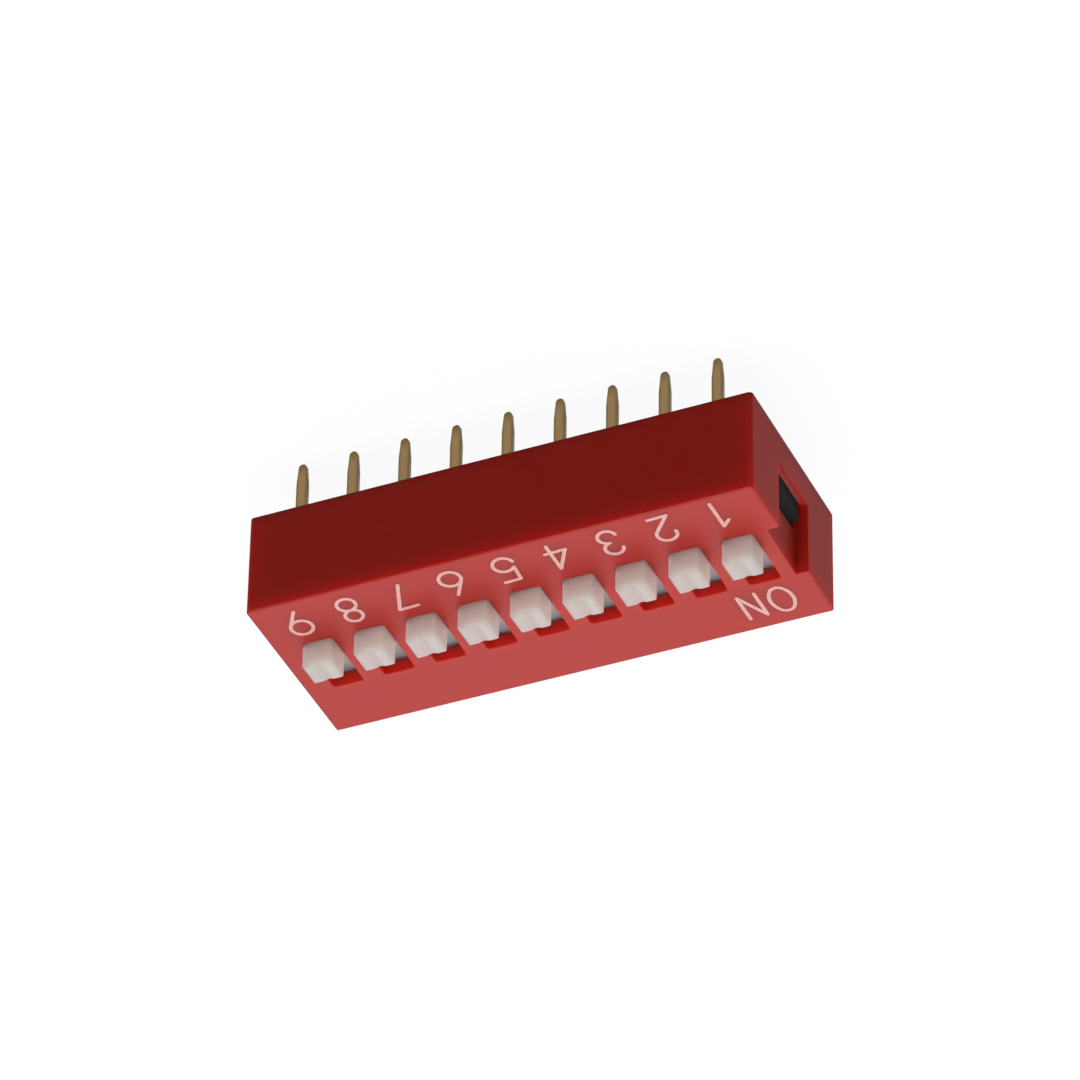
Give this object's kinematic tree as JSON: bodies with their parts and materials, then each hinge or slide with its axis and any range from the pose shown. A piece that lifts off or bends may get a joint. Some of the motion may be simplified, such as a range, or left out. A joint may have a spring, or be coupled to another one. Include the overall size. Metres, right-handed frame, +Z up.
{
  "type": "dip switch",
  "caption": "Through-hole slide DIP switch: a moulded cover snapped over a black base, a row of slide actuators with spring contacts inside, and two rows of flat solder pins.",
  "frame": {"origin": "middle of the seat on the circuit board, under the body", "axes": "+X along the row from position 1 to position 9, +Y across to the ON side, +Z up out of the board"},
  "size_m": [0.0244, 0.0098, 0.0098],
  "materials": {
    "cover_plastic": "satin moulded red nylon, slightly translucent, printed white",
    "base_plastic": "matt moulded black",
    "slider_plastic": "satin moulded off-white, slightly translucent",
    "contact_metal": "gold-flashed spring leaf",
    "terminal_metal": "dull plated strip, cut edges"
  },
  "bodies": {
    "housing": {"cover": "cover_plastic", "base": "base_plastic", "terminal_number_side_1": "terminal_metal", "terminal_number_side_2": "terminal_metal", "terminal_number_side_3": "terminal_metal", "terminal_number_side_4": "terminal_metal", "terminal_number_side_5": "terminal_metal", "terminal_number_side_6": "terminal_metal", "terminal_number_side_7": "terminal_metal", "terminal_number_side_8": "terminal_metal", "terminal_number_side_9": "terminal_metal", "terminal_on_side_1": "terminal_metal", "terminal_on_side_2": "terminal_metal", "terminal_on_side_3": "terminal_metal", "terminal_on_side_4": "terminal_metal", "terminal_on_side_5": "terminal_metal", "terminal_on_side_6": "terminal_metal", "terminal_on_side_7": "terminal_metal", "terminal_on_side_8": "terminal_metal", "terminal_on_side_9": "terminal_metal"},
    "actuator_1": {"slider_1": "slider_plastic", "contact_1": "contact_metal"},
    "actuator_2": {"slider_2": "slider_plastic", "contact_2": "contact_metal"},
    "actuator_3": {"slider_3": "slider_plastic", "contact_3": "contact_metal"},
    "actuator_4": {"slider_4": "slider_plastic", "contact_4": "contact_metal"},
    "actuator_5": {"slider_5": "slider_plastic", "contact_5": "contact_metal"},
    "actuator_6": {"slider_6": "slider_plastic", "contact_6": "contact_metal"},
    "actuator_7": {"slider_7": "slider_plastic", "contact_7": "contact_metal"},
    "actuator_8": {"slider_8": "slider_plastic", "contact_8": "contact_metal"},
    "actuator_9": {"slider_9": "slider_plastic", "contact_9": "contact_metal"}
  },
  "joints": [
    {"name": "slide_1", "type": "slide", "parent": "housing", "child": "actuator_1", "axis": [0, 1, 0], "range_m": [0, 0.002]},
    {"name": "slide_2", "type": "slide", "parent": "housing", "child": "actuator_2", "axis": [0, 1, 0], "range_m": [0, 0.002]},
    {"name": "slide_3", "type": "slide", "parent": "housing", "child": "actuator_3", "axis": [0, 1, 0], "range_m": [0, 0.002]},
    {"name": "slide_4", "type": "slide", "parent": "housing", "child": "actuator_4", "axis": [0, 1, 0], "range_m": [0, 0.002]},
    {"name": "slide_5", "type": "slide", "parent": "housing", "child": "actuator_5", "axis": [0, 1, 0], "range_m": [0, 0.002]},
    {"name": "slide_6", "type": "slide", "parent": "housing", "child": "actuator_6", "axis": [0, 1, 0], "range_m": [0, 0.002]},
    {"name": "slide_7", "type": "slide", "parent": "housing", "child": "actuator_7", "axis": [0, 1, 0], "range_m": [0, 0.002]},
    {"name": "slide_8", "type": "slide", "parent": "housing", "child": "actuator_8", "axis": [0, 1, 0], "range_m": [0, 0.002]},
    {"name": "slide_9", "type": "slide", "parent": "housing", "child": "actuator_9", "axis": [0, 1, 0], "range_m": [0, 0.002]}
  ]
}
